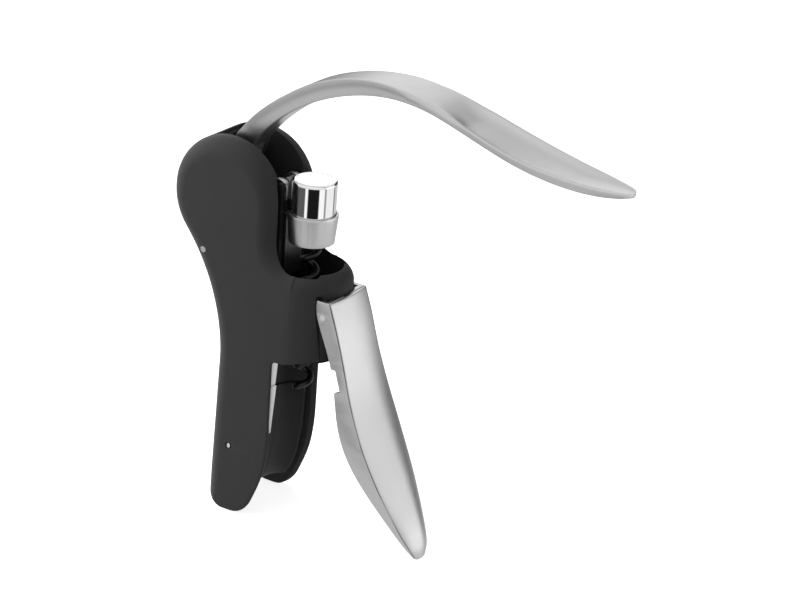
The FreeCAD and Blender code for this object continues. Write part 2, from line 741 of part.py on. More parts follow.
def worm_pieces():
    save("worm", worm())
    clip = upright(shank_radius + clip_stand, clip_bottom, clip_bottom + clip_thickness)
    clip = clip.cut(upright(shank_radius - clip_depth + slip, 0, far))
    save("retaining_ring", clip.cut(block(0, far, -shank_radius / 3.0, shank_radius / 3.0, 0, far)))
    washer = upright(washer_radius, bearing_top + running, cap_bottom - running)
    washer = washer.cut(upright(shank_radius + slip, 0, shank_top + slip))
    save("thrust_washer", washer.cut(upright(spindle_radius + slip, 0, far)))
    cap = upright(cap_radius, cap_bottom, cap_top)
    cap = cap.makeFillet(cap_edge, [e for e in cap.Edges if abs(e.BoundBox.ZMin - cap_top) < 0.01])
    cap = cap.cut(upright(cap_radius - cap_wall, cap_bottom - 1, cap_top - cap_wall))
    save("chrome_cap", cap)
    hub_top = cap_top - cap_wall
    collar = upright(cap_radius - cap_wall - slip, cap_bottom, hub_top)
    collar = collar.cut(upright(spindle_radius + slip, 0, spindle_top))
    seat = spindle_top + screw_seat
    collar = collar.cut(upright(screw_radius + running, 0, far))
    collar = collar.cut(upright(screw_head_radius + screw_head_play, seat, far))
    save("cap_core", collar)
    screw = upright(screw_head_radius, seat, seat + screw_head_height)
    slot = block(-far, far, -screw_slot_half_width, screw_slot_half_width,
                 seat + screw_head_height - screw_slot_depth, far)
    save("cap_screw", screw.cut(slot).fuse(upright(screw_radius, seat - screw_length, seat)))


# ---------------------------------------------------------------- worm guide
def worm_guide_pieces():
    bore = worm_coil_radius + worm_wire_radius + guide_bore_play
    guide = upright(guide_outer, guide_bottom, guide_top).cut(upright(bore, 0, far))
    # the two pins stand between the worm's turns, half a pitch and half a turn apart
    middle = (guide_bottom + guide_top) / 2.0
    pins = []
    for side in (0, 1):
        z = middle + (side - 0.5) * worm_pitch / 2.0
        angle = 2 * pi * (z - worm_tip_z) / worm_pitch + pi + radians(worm_phase)
        tip = worm_coil_radius - guide_pin_reach
        head = guide_outer
        pin = rod(guide_pin_radius, (tip * cos(angle), tip * sin(angle), z),
                  (head * cos(angle), head * sin(angle), z))
        pins.append(pin.common(upright(guide_outer, 0, far)))
        guide = guide.cut(rod(guide_pin_radius + slip, (0, 0, z), (far * cos(angle), far * sin(angle), z)))
    save("worm_guide", guide)
    save("guide_pins", Part.Compound(pins))
    bottom = guide_bottom + bridge_seat
    plate = upright(bore_radius - running, bottom, bottom + bridge_thickness)
    plate = plate.cut(upright(guide_outer + slip, 0, far))
    plate = plate.cut(block(-far, bridge_rear_x, -far, far, 0, far))
    save("guide_bridge", plate)


# ---------------------------------------------------------------- front handle
def clamp_rows():
    """The sections with their places along X."""
    return [(z, barrel_radius + back, barrel_radius + seam, barrel_radius + crown, half)
            for z, back, seam, crown, half in clamp_sections]


def clamp_loft():
    """The whole handle as one tapering, bowed form."""
    wires = []
    for z, back, seam, crown, half in clamp_rows():
        a, b = Vec(back, -half, z), Vec(seam, -half, z)
        c, d = Vec(seam, half, z), Vec(back, half, z)
        wires.append(Part.Wire([line(a, b), arc(b, Vec(crown, 0, z), c), line(c, d), line(d, a)]))
    return Part.makeLoft(wires, True, False)


def behind_seam(offset):
    seam = [at(row[2] + offset, row[0]) for row in clamp_rows()]
    top = seam[0] + (seam[0] - seam[1]) * 0.4
    foot = at(seam[-1].x, -1.0)
    return prism(polygon([at(-far, foot.z), at(-far, top.z), top] + seam + [foot]), far)


def clamp_frame():
    outer = clamp_loft().common(behind_seam(0.0))
    pocket_wires = []
    for z, back, seam, crown, half in clamp_rows()[:-1]:
        inner = half - clamp_flange
        open_x = back - clamp_pocket_run
        a, b = Vec(open_x, -inner, z), Vec(seam - clamp_floor, -inner, z)
        c, d = Vec(seam - clamp_floor, inner, z), Vec(open_x, inner, z)
        pocket_wires.append(Part.Wire([line(a, b), line(b, c), line(c, d), line(d, a)]))
    body = outer.cut(Part.makeLoft(pocket_wires, True, True))
    # the notch with its small step, in the back edge of both side walls
    body = body.cut(prism(polygon([at(barrel_radius + x, z) for x, z in clamp_notch]), far))
    return body.cut(cross_rod(clamp_pin_radius + running, clamp_pivot_x, clamp_pivot_z, -far, far))


def clamp_clearance():
    """Room for the barrel and its lugs while the handle swings."""
    reach = lug_outer + lug_side_play
    beside = block(-far, far, -far, far, 0, clamp_slot[-1][1] + clearance_above_slot)
    room = upright(barrel_radius + barrel_clearance, barrel_bottom - clearance_below, barrel_top)
    room = room.common(block(-far, far, -reach, reach, 0, far).fuse(beside))
    shape = room
    for step in (0.5, 1.0):
        shape = shape.fuse(turned(room, -clamp_close_deg * step, clamp_pivot_x, clamp_pivot_z))
    return shape.fuse(cross_rod(lug_radius + lug_clearance, clamp_pivot_x, clamp_pivot_z, -reach, reach))


def clamp_pieces():
    clear = clamp_clearance()
    cover = clamp_loft().cut(behind_seam(seam_gap)).cut(clear)
    frame = clamp_frame().cut(clear)
    pad = clamp_pad()
    rivets = []
    for z in clamp_rivet_heights:
        end = seam_x(z) + clamp_rivet_depth
        rivets.append(rod(rivet_radius, (end - clamp_floor - clamp_rivet_tail, 0, z), (end, 0, z)))
        hole = rod(rivet_radius + slip, (-far, 0, z), (end + slip, 0, z))
        cover, frame, pad = cover.cut(hole), frame.cut(hole), pad.cut(hole)
    save("clamp_cover", cover)
    save("clamp_frame", frame)
    save("clamp_rivets", Part.Compound(rivets))
    save("clamp_pad", pad)
    outer = clamp_top_half_width - clamp_pin_inset
    save("clamp_pins", pair(cross_rod(clamp_pin_radius, clamp_pivot_x, clamp_pivot_z, lug_inner, outer)))
    save("clamp_spring", leaf_spring())


def seam_x(z):
    rows = clamp_rows()
    for upper, lower in zip(rows, rows[1:]):
        if lower[0] <= z <= upper[0]:
            share = (upper[0] - z) / (upper[0] - lower[0])
            return upper[2] + share * (lower[2] - upper[2])
    return rows[-1][2]


def clamp_pad():
    """Made where it grips the neck, then swung open with the handle."""
    pad = block(neck_radius / 2.0, pad_back_x, -pad_half_width, pad_half_width, pad_bottom, pad_top)
    pad = pad.cut(upright(neck_radius, 0, barrel_bottom))
    # a stem carries the pad on the frame's front wall
    inset = pad_stem_half_width
    stem = block(pad_back_x, far, -inset, inset, pad_bottom + inset, pad_top - inset)
    pad = turned(pad.fuse(stem), -clamp_close_deg, clamp_pivot_x, clamp_pivot_z)
    return pad.common(behind_seam(-clamp_floor - slip)).removeSplitter()


def leaf_spring():
    """A bowed strip on the frame's front wall that presses on the barrel."""
    low, high = spring_heights
    foot = at(seam_x(low) - clamp_floor - spring_thickness, low)
    head = at(seam_x(high) - clamp_floor - spring_thickness - spring_head_gap, high)
    bow = at(barrel_radius + barrel_clearance, (low + high) / 2.0 + spring_bow_rise)
    shift = Vec(spring_thickness, 0, 0)
    strip = [arc(foot, bow, head), line(head, head + shift), arc(head + shift, bow + shift, foot + shift),
             line(foot + shift, foot)]
    return prism(strip, spring_half_width)


def bumper():
    """A soft stop for the raised lever, on the rear end of the slot in the roof."""
    rear = slot_rear_x + slip
    low, high = [crown_z + height for height in bumper_heights]
    half = lever_tail_half_width - bumper_inset
    save("lever_bumper", block(rear, rear + bumper_thickness, -half, half, low, high))


housing_halves()
neck_pieces()
pivot_pieces()
save("lever", lever())
carriage_pieces()
guide_rails()
worm_pieces()
worm_guide_pieces()
clamp_pieces()
bumper()
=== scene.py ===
import json
from math import asin, cos, pi, radians, sin

import bpy
from mathutils import Matrix, Vector
from mathutils.bvhtree import BVHTree


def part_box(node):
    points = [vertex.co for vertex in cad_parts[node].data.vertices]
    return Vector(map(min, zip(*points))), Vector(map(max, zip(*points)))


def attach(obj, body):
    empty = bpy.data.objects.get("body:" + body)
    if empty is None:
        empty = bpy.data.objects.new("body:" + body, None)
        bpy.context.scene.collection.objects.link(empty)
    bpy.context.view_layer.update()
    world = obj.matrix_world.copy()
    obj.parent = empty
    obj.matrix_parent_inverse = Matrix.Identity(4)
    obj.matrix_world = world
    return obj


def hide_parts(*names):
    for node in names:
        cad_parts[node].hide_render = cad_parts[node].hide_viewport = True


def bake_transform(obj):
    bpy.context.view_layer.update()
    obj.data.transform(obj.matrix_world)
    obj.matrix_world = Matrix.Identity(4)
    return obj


# Compact lever corkscrew, dressed for looks. Lengths are written in millimetres and made metres by mm().
# The worm's axis is Z, the front handle is towards +X, and the left housing half is towards -Y.

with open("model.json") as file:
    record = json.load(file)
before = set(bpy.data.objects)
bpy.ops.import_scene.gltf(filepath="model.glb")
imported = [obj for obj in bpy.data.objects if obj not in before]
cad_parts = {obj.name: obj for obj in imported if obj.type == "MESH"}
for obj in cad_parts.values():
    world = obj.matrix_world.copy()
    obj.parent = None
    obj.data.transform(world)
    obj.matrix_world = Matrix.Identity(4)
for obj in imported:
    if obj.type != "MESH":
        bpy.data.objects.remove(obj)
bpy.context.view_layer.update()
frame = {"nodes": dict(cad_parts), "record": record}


def mm(*values):
    """Millimetres to metres: one number, or a vector."""
    metres = [value / 1000.0 for value in values]
    return metres[0] if len(metres) == 1 else Vector(metres)


# ---------------------------------------------------------------- camera, floor and light
VIEW_AZIMUTH = radians(30.0)
VIEW_ELEVATION = radians(23.0)
VIEW_ROLL = radians(4.5)
VIEW_AIM = mm(41.3, 3.7, 108.3)
VIEW_DISTANCE = mm(900.0)
LENS = 101.25
FLOOR_SIZE = 8.0                  # metres
FLOOR_HEIGHT = mm(-0.05)          # just under the feet
FLOOR_PAINT = 0.75
FLOOR_GLOW = 0.86                 # only the camera sees it


def add_camera():
    turn = (
        Matrix.Rotation(VIEW_AZIMUTH, 4, "Z")
        @ Matrix.Rotation(radians(90.0) - VIEW_ELEVATION, 4, "X")
        @ Matrix.Rotation(VIEW_ROLL, 4, "Z")
    )
    place = VIEW_AIM + turn.to_3x3() @ Vector((0.0, 0.0, VIEW_DISTANCE))
    bpy.ops.object.camera_add(location=place, rotation=turn.to_euler())
    camera = bpy.context.object
    camera.data.lens = LENS
    camera.data.sensor_width = 36.0
    camera.data.clip_start = 0.01
    bpy.context.scene.camera = camera


def add_floor():
    bpy.ops.mesh.primitive_plane_add(size=FLOOR_SIZE, location=(0.0, 0.0, FLOOR_HEIGHT))
    floor = bpy.context.object
    floor.name = "floor"
    floor.visible_glossy = False
    material = bpy.data.materials.new("pale_floor")
    material.use_nodes = True
    nodes, links = material.node_tree.nodes, material.node_tree.links
    nodes.clear()
    path = nodes.new("ShaderNodeLightPath")
    paint = nodes.new("ShaderNodeBsdfDiffuse")
    paint.inputs["Color"].default_value = (FLOOR_PAINT, FLOOR_PAINT, FLOOR_PAINT, 1.0)
    glow = nodes.new("ShaderNodeEmission")
    glow.inputs["Strength"].default_value = FLOOR_GLOW
    both = nodes.new("ShaderNodeAddShader")
    choice = nodes.new("ShaderNodeMixShader")
    out = nodes.new("ShaderNodeOutputMaterial")
    links.new(paint.outputs[0], both.inputs[0])
    links.new(glow.outputs[0], both.inputs[1])
    links.new(path.outputs["Is Camera Ray"], choice.inputs["Fac"])
    links.new(paint.outputs[0], choice.inputs[1])
    links.new(both.outputs[0], choice.inputs[2])
    links.new(choice.outputs[0], out.inputs["Surface"])
    floor.data.materials.append(material)


def add_softbox(name, place, aim, size, watts):
    bpy.ops.object.light_add(type="AREA", location=place)
    lamp = bpy.context.object
    lamp.name = name
    lamp.data.shape = "RECTANGLE"
    lamp.data.size, lamp.data.size_y = size
    lamp.data.energy = watts
    lamp.visible_glossy = False
    lamp.rotation_mode = "QUATERNION"
    lamp.rotation_quaternion = (Vector(aim) - Vector(place)).to_track_quat("-Z", "Y")


# What the studio shows to glossy surfaces. Heights are the sine of the elevation. PLAIN_HEIGHTS gives height
# and brightness, and three rows of panels lie over it. A panel is the compass turn where it ends, in degrees
# from the camera's side round to the right, and its brightness. The four heights of a row are where it starts
# to show, where it is whole from and to, and where it is gone.
LOW_ROW = [(-108.0, 0.95), (-42.0, 0.1), (-28.0, 1.0), (29.0, 0.01), (57.0, 1.0), (67.0, 0.3), (118.0, 0.9),
           (126.0, 0.1), (180.0, 0.6)]
LEVEL_ROW = [(-155.0, 0.1), (-95.0, 0.5), (-20.0, 0.7), (60.0, 0.75), (121.0, 1.45), (180.0, 0.1)]
HIGH_ROW = [(-150.0, 1.2), (-60.0, 0.8), (100.0, 0.9), (118.0, 0.6), (163.0, 0.02), (180.0, 1.2)]
LOW_ROW_HEIGHTS = (-0.47, -0.44, -0.34, -0.31)
LEVEL_ROW_HEIGHTS = (-0.3, -0.2, 0.08, 0.2)
HIGH_ROW_HEIGHTS = (0.1, 0.16, 0.42, 0.58)
PANEL_ROWS = (                    # each lies over the ones before it
    (LEVEL_ROW, LEVEL_ROW_HEIGHTS),
    (LOW_ROW, LOW_ROW_HEIGHTS),
    (HIGH_ROW, HIGH_ROW_HEIGHTS),
)
PLAIN_HEIGHTS = [(-1.0, 0.7), (-0.6, 0.75), (0.1, 0.7), (0.25, 1.0), (0.54, 0.8), (0.8, 0.8), (1.0, 0.95)]
PANEL_BLUR = 2.0                  # degrees over which one panel fades into the next
AMBIENT = 0.12


def grey_ramp(nodes, marks, low, high):
    """A colour ramp through (place, brightness) marks; the places run from low to high."""
    ramp = nodes.new("ShaderNodeValToRGB")
    stops = ramp.color_ramp.elements
    for number, (place, value) in enumerate(marks):
        share = (place - low) / (high - low)
        if number < 2:
            stop = stops[number]
            stop.position = share
        else:
            stop = stops.new(share)
        stop.color = (value,) * 3 + (1.0,)
    return ramp


def panel_marks(row):
    start = -180.0
    marks = []
    for end, value in row:
        marks += [(start + PANEL_BLUR, value), (end - PANEL_BLUR, value)]
        start = end
    return [marks[0], marks[-1]] + marks[1:-1]


def add_world():
    world = bpy.data.worlds.new("studio")
    bpy.context.scene.world = world
    world.use_nodes = True
    nodes, links = world.node_tree.nodes, world.node_tree.links
    nodes.clear()
    out = nodes.new("ShaderNodeOutputWorld")
    path = nodes.new("ShaderNodeLightPath")
    where = nodes.new("ShaderNodeTexCoord")
    aligned = nodes.new("ShaderNodeMapping")
    aligned.vector_type = "POINT"
    aligned.inputs["Rotation"].default_value[2] = -VIEW_AZIMUTH + radians(90.0)
    links.new(where.outputs["Generated"], aligned.inputs["Vector"])
    split = nodes.new("ShaderNodeSeparateXYZ")
    links.new(aligned.outputs[0], split.inputs[0])
    compass = nodes.new("ShaderNodeMath")
    compass.operation = "ARCTAN2"
    links.new(split.outputs["Y"], compass.inputs[0])
    links.new(split.outputs["X"], compass.inputs[1])
    share = nodes.new("ShaderNodeMapRange")
    share.inputs["From Min"].default_value = -pi
    share.inputs["From Max"].default_value = pi
    links.new(compass.outputs[0], share.inputs["Value"])
    lift = nodes.new("ShaderNodeMapRange")
    lift.inputs["From Min"].default_value = -1.0
    links.new(split.outputs["Z"], lift.inputs["Value"])

    shown = grey_ramp(nodes, PLAIN_HEIGHTS, -1.0, 1.0)
    links.new(lift.outputs[0], shown.inputs[0])
    shown = shown.outputs[0]
    for row, heights in PANEL_ROWS:
        panels = grey_ramp(nodes, panel_marks(row), -180.0, 180.0)
        links.new(share.outputs[0], panels.inputs[0])
        mask = grey_ramp(nodes, list(zip(heights, (0.0, 1.0, 1.0, 0.0))), -1.0, 1.0)
        links.new(lift.outputs[0], mask.inputs[0])
        layered = nodes.new("ShaderNodeMix")
        layered.data_type = "RGBA"
        links.new(mask.outputs[0], layered.inputs["Factor"])
        links.new(shown, layered.inputs["A"])
        links.new(panels.outputs[0], layered.inputs["B"])
        shown = layered.outputs["Result"]
    mirror = nodes.new("ShaderNodeBackground")
    links.new(shown, mirror.inputs["Color"])
    ambient = nodes.new("ShaderNodeBackground")
    ambient.inputs["Color"].default_value = (1.0, 1.0, 1.0, 1.0)
    ambient.inputs["Strength"].default_value = AMBIENT
    white = nodes.new("ShaderNodeBackground")
    white.inputs["Color"].default_value = (1.0, 1.0, 1.0, 1.0)
    inner = nodes.new("ShaderNodeMixShader")
    links.new(path.outputs["Is Glossy Ray"], inner.inputs["Fac"])
    links.new(ambient.outputs[0], inner.inputs[1])
    links.new(mirror.outputs[0], inner.inputs[2])
    outer = nodes.new("ShaderNodeMixShader")
    links.new(path.outputs["Is Camera Ray"], outer.inputs["Fac"])
    links.new(inner.outputs[0], outer.inputs[1])
    links.new(white.outputs[0], outer.inputs[2])
    links.new(outer.outputs[0], out.inputs["Surface"])


bpy.context.scene.view_settings.view_transform = "Standard"
add_camera()
add_floor()
add_world()
add_softbox("softbox_above", mm(-100.0, -150.0, 900.0), mm(20.0, 0.0, 100.0), (mm(1200.0), mm(1200.0)), 6.0)
add_softbox("softbox_left", mm(-750.0, -480.0, 320.0), mm(0.0, 0.0, 100.0), (mm(700.0), mm(900.0)), 8.5)
add_softbox("softbox_rim", mm(-850.0, 60.0, 250.0), mm(0.0, 0.0, 90.0), (mm(600.0), mm(700.0)), 7.0)


# ---------------------------------------------------------------- finishes
NOISE_RANGE = (0.3, 0.7)          # most of a noise lies between these


def finish_base(name, colour, metallic, roughness, **constants):
    material = bpy.data.materials.new(name)
    material.use_nodes = True
    shader = material.node_tree.nodes["Principled BSDF"]
    shader.inputs["Base Color"].default_value = (*colour, 1.0)
    shader.inputs["Metallic"].default_value = metallic
    shader.inputs["Roughness"].default_value = roughness
    for socket, value in constants.items():
        shader.inputs[socket.replace("_", " ")].default_value = value
    return material


def noise_field(material, scale, stretch=(1.0, 1.0, 1.0), detail=4.0):
    """A noise in object space, so many grains a metre, drawn out along an axis whose stretch is small."""
    nodes, links = material.node_tree.nodes, material.node_tree.links
    where = nodes.new("ShaderNodeTexCoord")
    placed = nodes.new("ShaderNodeMapping")
    placed.inputs["Scale"].default_value = stretch
    noise = nodes.new("ShaderNodeTexNoise")
    noise.inputs["Scale"].default_value = scale
    noise.inputs["Detail"].default_value = detail
    links.new(where.outputs["Object"], placed.inputs["Vector"])
    links.new(placed.outputs[0], noise.inputs["Vector"])
    return noise


def add_bump(material, field, depth, strength=1.0):
    nodes, links = material.node_tree.nodes, material.node_tree.links
    bump = nodes.new("ShaderNodeBump")
    bump.inputs["Strength"].default_value = strength
    bump.inputs["Distance"].default_value = mm(depth)
    shader = nodes["Principled BSDF"]
    links.new(field.outputs["Fac"], bump.inputs["Height"])
    if shader.inputs["Normal"].is_linked:
        links.new(shader.inputs["Normal"].links[0].from_socket, bump.inputs["Normal"])
    links.new(bump.outputs[0], shader.inputs["Normal"])


def vary_roughness(material, field, low, high):
    nodes, links = material.node_tree.nodes, material.node_tree.links
    spread = nodes.new("ShaderNodeMapRange")
    spread.inputs["From Min"].default_value, spread.inputs["From Max"].default_value = NOISE_RANGE
    spread.inputs["To Min"].default_value = low
    spread.inputs["To Max"].default_value = high
    links.new(field.outputs["Fac"], spread.inputs["Value"])
    links.new(spread.outputs[0], nodes["Principled BSDF"].inputs["Roughness"])


def vary_colour(material, field, dark, light):
    nodes, links = material.node_tree.nodes, material.node_tree.links
    blend = nodes.new("ShaderNodeMix")
    blend.data_type = "RGBA"
    blend.inputs["A"].default_value = (*dark, 1.0)
    blend.inputs["B"].default_value = (*light, 1.0)
    links.new(field.outputs["Fac"], blend.inputs["Factor"])
    links.new(blend.outputs["Result"], nodes["Principled BSDF"].inputs["Base Color"])


def soft_touch_black():
    material = finish_base("soft_touch_black", (0.029, 0.029, 0.029), 0.0, 0.6, Specular_IOR_Level=0.25,
                           Sheen_Weight=0.1, Sheen_Roughness=0.35)
    fine = noise_field(material, 2600.0, detail=2.0)
    broad = noise_field(material, 90.0)
    vary_colour(material, broad, (0.027, 0.027, 0.027), (0.032, 0.032, 0.032))
    vary_roughness(material, broad, 0.56, 0.64)
    add_bump(material, fine, 0.01)
    return material


def inner_black():
    material = finish_base("inner_black", (0.008, 0.008, 0.009), 0.0, 0.5, Specular_IOR_Level=0.3)
    fine = noise_field(material, 1500.0, detail=2.0)
    vary_roughness(material, fine, 0.45, 0.6)
    add_bump(material, fine, 0.02)
    return material


def satin_cast(name, colour, roughness):
    """Cast and blasted metal with a faint grain along the piece."""
    material = finish_base(name, colour, 1.0, roughness)
    grain = noise_field(material, 900.0, stretch=(0.12, 1.0, 1.0), detail=3.0)
    fine = noise_field(material, 4200.0, detail=1.0)
    vary_roughness(material, grain, roughness - 0.03, roughness + 0.04)
    add_bump(material, grain, 0.004)
    add_bump(material, fine, 0.006)
    return material


def brushed_steel(name, colour, roughness, stretch):
    material = finish_base(name, colour, 1.0, roughness)
    grain = noise_field(material, 1400.0, stretch=stretch, detail=3.0)
    vary_roughness(material, grain, roughness - 0.05, roughness + 0.08)
    add_bump(material, grain, 0.008)
    return material


def mirror_chrome():
    material = finish_base("mirror_chrome", (0.93, 0.93, 0.94), 1.0, 0.03)
    haze = noise_field(material, 160.0)
    vary_roughness(material, haze, 0.02, 0.05)
    return material


def slick_black():
    material = finish_base("slick_black", (0.010, 0.010, 0.010), 0.0, 0.34, Specular_IOR_Level=0.35)
    haze = noise_field(material, 700.0)
    vary_roughness(material, haze, 0.3, 0.4)
    add_bump(material, haze, 0.01)
    return material


def soft_rubber():
    material = finish_base("soft_rubber", (0.015, 0.015, 0.015), 0.0, 0.75, Specular_IOR_Level=0.25)
    fine = noise_field(material, 900.0)
    add_bump(material, fine, 0.03)
    return material


def sintered_bronze():
    material = finish_base("sintered_bronze", (0.55, 0.36, 0.17), 1.0, 0.42)
    fine = noise_field(material, 1800.0)
    vary_roughness(material, fine, 0.36, 0.5)
    add_bump(material, fine, 0.015)
    return material


FINISH = {
    "soft_black": soft_touch_black(),
    "inner_black": inner_black(),
    "satin_metal": satin_cast("satin_lever", (0.64, 0.64, 0.64), 0.34),
    "brushed_steel": brushed_steel("brushed_steel", (0.72, 0.72, 0.72), 0.33, (1.0, 1.0, 0.08)),
    "polished_pin": brushed_steel("polished_pin", (0.92, 0.92, 0.92), 0.45, (1.0, 0.1, 1.0)),
    "chrome": mirror_chrome(),
    "coated_worm": slick_black(),
    "rubber": soft_rubber(),
    "bronze": sintered_bronze(),
}


# ---------------------------------------------------------------- modelling helpers
MERGE_DISTANCE = mm(0.002)
FLAT_ANGLE = 0.4                  # degrees; faces that turn less than this become one
EDGE_ANGLE = 35.0                 # degrees; edges that turn more are rounded, and aren't smoothed over
ROUND_ANGLE = 50.0                # and for pieces of a round form, smoothed over up to here
CUTTER_SIDES = 96


def only(piece):
    """Nothing selected but this piece."""
    bpy.ops.object.select_all(action="DESELECT")
    piece.select_set(True)
    bpy.context.view_layer.objects.active = piece


def in_edit(piece):
    only(piece)
    bpy.ops.object.mode_set(mode="EDIT")


def leave_edit():
    bpy.ops.object.mode_set(mode="OBJECT")


def apply_modifier(piece, kind, **settings):
    only(piece)
    modifier = piece.modifiers.new("step", kind)
    for setting, value in settings.items():
        setattr(modifier, setting, value)
    bpy.ops.object.modifier_apply(modifier="step")


def bevelled(piece, width, segments, angle=EDGE_ANGLE):
    apply_modifier(piece, "BEVEL", width=mm(width), segments=segments, limit_method="ANGLE",
                   angle_limit=radians(angle), harden_normals=False)


def cut_away(piece, cutters):
    """Takes the cutters' room out of a piece, then deletes them."""
    for cutter in cutters:
        apply_modifier(piece, "BOOLEAN", operation="DIFFERENCE", solver="EXACT", object=cutter)
        only(cutter)
        bpy.ops.object.delete()


def cross_cutter(radius, centre, half_width):
    """A cylinder along Y, to cut with."""
    bpy.ops.object.select_all(action="DESELECT")
    bpy.ops.mesh.primitive_cylinder_add(vertices=CUTTER_SIDES, radius=radius, depth=2.0 * half_width,
                                        location=centre, rotation=(radians(90.0), 0.0, 0.0))
    return bpy.context.object


def joined(pieces):
    only(pieces[0])
    for piece in pieces[1:]:
        piece.select_set(True)
    bpy.ops.object.join()
    return bpy.context.object


def pulled_skin(rings):
    """A closed solid, pulled by extruding one end face from each ring of points on to the next."""
    bpy.ops.object.select_all(action="DESELECT")
    bpy.ops.mesh.primitive_circle_add(vertices=len(rings[0]), radius=mm(1.0), fill_type="NGON")
    piece = bpy.context.object
    for vertex, spot in zip(piece.data.vertices, rings[0]):
        vertex.co = spot
    for ring, following in zip(rings, rings[1:]):
        in_edit(piece)
        bpy.ops.mesh.extrude_region_move()
        leave_edit()
        for vertex in piece.data.vertices:
            if vertex.select:
                nearest = min(range(len(ring)), key=lambda number: (ring[number] - vertex.co).length_squared)
                vertex.co = following[nearest]
    in_edit(piece)
    bpy.ops.mesh.select_all(action="SELECT")
    bpy.ops.mesh.normals_make_consistent(inside=False)
    bpy.ops.mesh.select_all(action="DESELECT")
    leave_edit()
    return piece


def dressed(piece, name, slot, smooth=EDGE_ANGLE):
    """Puts a piece's place into its mesh, names it, smooths it and gives it its finish."""
    only(piece)
    bpy.ops.object.transform_apply(location=True, rotation=True, scale=True)
    piece.name = name
    piece.data.name = name
    bpy.ops.object.shade_smooth_by_angle(angle=radians(smooth))
    piece.data.materials.clear()
    piece.data.materials.append(FINISH[slot])


def settled(piece, name, slot, body, replaced, smooth=EDGE_ANGLE):
    """Dresses a piece and puts it on its body, instead of the nodes that it replaces."""
    dressed(piece, name, slot, smooth)
    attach(piece, body)
    if replaced:
        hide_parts(*replaced)


def body_of_node(node):
    return next(body for body, members in frame["record"]["behaviour"]["bodies"].items() if node in members)


def copy_of(node):
    """A merged copy of a CAD node's mesh, as a piece of its own."""
    piece = frame["nodes"][node].copy()
    piece.data = piece.data.copy()
    piece.parent = None
    for key in list(piece.keys()):
        del piece[key]
    bpy.context.scene.collection.objects.link(piece)
    piece.hide_viewport = piece.hide_render = False
    piece.hide_set(False)
    in_edit(piece)
    bpy.ops.mesh.select_all(action="SELECT")
    bpy.ops.mesh.remove_doubles(threshold=MERGE_DISTANCE)
    bpy.ops.mesh.dissolve_limited(angle_limit=radians(FLAT_ANGLE))
    bpy.ops.mesh.select_all(action="DESELECT")
    leave_edit()
    return piece


def softened(node, slot, width):
    piece = copy_of(node)
    bevelled(piece, width, 2)
    settled(piece, node + "_finished", slot, body_of_node(node), [node])


def eased(value, start, end):
    """0 before start, 1 after end, and a smooth rise between."""
    share = min(max((value - start) / (end - start), 0.0), 1.0)
    return share * share * (3.0 - 2.0 * share)


def middle_of(node):
    low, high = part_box(node)
    return (low + high) / 2.0


# ---------------------------------------------------------------- housing
# The halves are reshaped a little: the back is hollow at the waist and leans out to the foot, the legs'
# front edges are set back, most on the inside, the feet are set back and the heels flatter, and the barrel's
# foot rises to the front. It is all in millimetres, and a run is where a change starts and where it is whole.
# Height, and how far forward the back moves there
WAIST_SHIFTS = [(0.0, 0.0), (6.0, 0.1), (70.0, 2.2), (100.0, 1.9), (137.0, 1.4), (163.0, 0.5)]
BACK_RUN = (10.0, 28.0)           # behind the worm's axis
LEG_TOP = 73.5                    # the reshaped legs end here, under the barrel
LEG_TOP_MARGIN = 0.1
LEG_LOOPS = [8.0 * step for step in range(1, 9)]   # heights where the legs can bend
LEG_FRONT_RUN = (-20.0, -7.0)
LEG_WALL_RUN = (15.5, 18.4)       # across, from a leg's inside to its flank
LEG_INNER_SHIFT = -2.4
LEG_OUTER_SHIFT = -0.6
FOOT_SET_BACK = 1.8
FOOT_HEIGHT = 26.0
FOOT_RUN = (-33.0, -20.0)
HEEL_HEIGHT = 12.0
HEEL_FLATTER = 0.6                # the share of its height that a heel keeps
HEEL_RUN = (10.0, 26.0)           # behind the worm's axis
BARREL_FOOT_RISE = 3.2
BARREL_FOOT_TOP = 76.0
BARREL_FOOT_RUN = (-3.0, 16.0)
HOUSING_EDGE = 0.35


def at_height(rows, z):
    """The value at a height, on straight lines between rows of height and value."""
    for (low, before), (high, after) in zip(rows, rows[1:]):
        if z <= high:
            return before + (after - before) * max(z - low, 0.0) / (high - low)
    return rows[-1][1]


def reshaped(x, y, z):
    """Where a point of the plain housing goes; all in millimetres."""
    moved_x, moved_z = x + at_height(WAIST_SHIFTS, z) * eased(-x, *BACK_RUN), z
    if z < LEG_TOP + LEG_TOP_MARGIN:
        slant = LEG_INNER_SHIFT + (LEG_OUTER_SHIFT - LEG_INNER_SHIFT) * eased(abs(y), *LEG_WALL_RUN)
        moved_x += slant * eased(x, *LEG_FRONT_RUN)
        moved_x -= FOOT_SET_BACK * (1.0 - eased(z, 0.0, FOOT_HEIGHT)) * eased(x, *FOOT_RUN)
        if z < HEEL_HEIGHT:
            moved_z *= 1.0 - (1.0 - HEEL_FLATTER) * eased(-x, *HEEL_RUN)
    elif z < BARREL_FOOT_TOP:
        moved_z += BARREL_FOOT_RISE * eased(x, *BARREL_FOOT_RUN)
    return mm(moved_x, y, moved_z)


def sliced(piece, heights):
    """Adds level loops, so that a reshaped piece can bend there."""
    for height in heights:
        in_edit(piece)
        bpy.ops.mesh.select_all(action="SELECT")
        bpy.ops.mesh.bisect(plane_co=(0.0, 0.0, mm(height)), plane_no=(0.0, 0.0, 1.0))
        leave_edit()


def housing_skin(node):
    piece = copy_of(node)
    sliced(piece, [LEG_TOP] + LEG_LOOPS)
    for vertex in piece.data.vertices:
        vertex.co = reshaped(*(1000.0 * vertex.co))
    bevelled(piece, HOUSING_EDGE, 3)
    settled(piece, node + "_finished", "soft_black", "housing", [node])


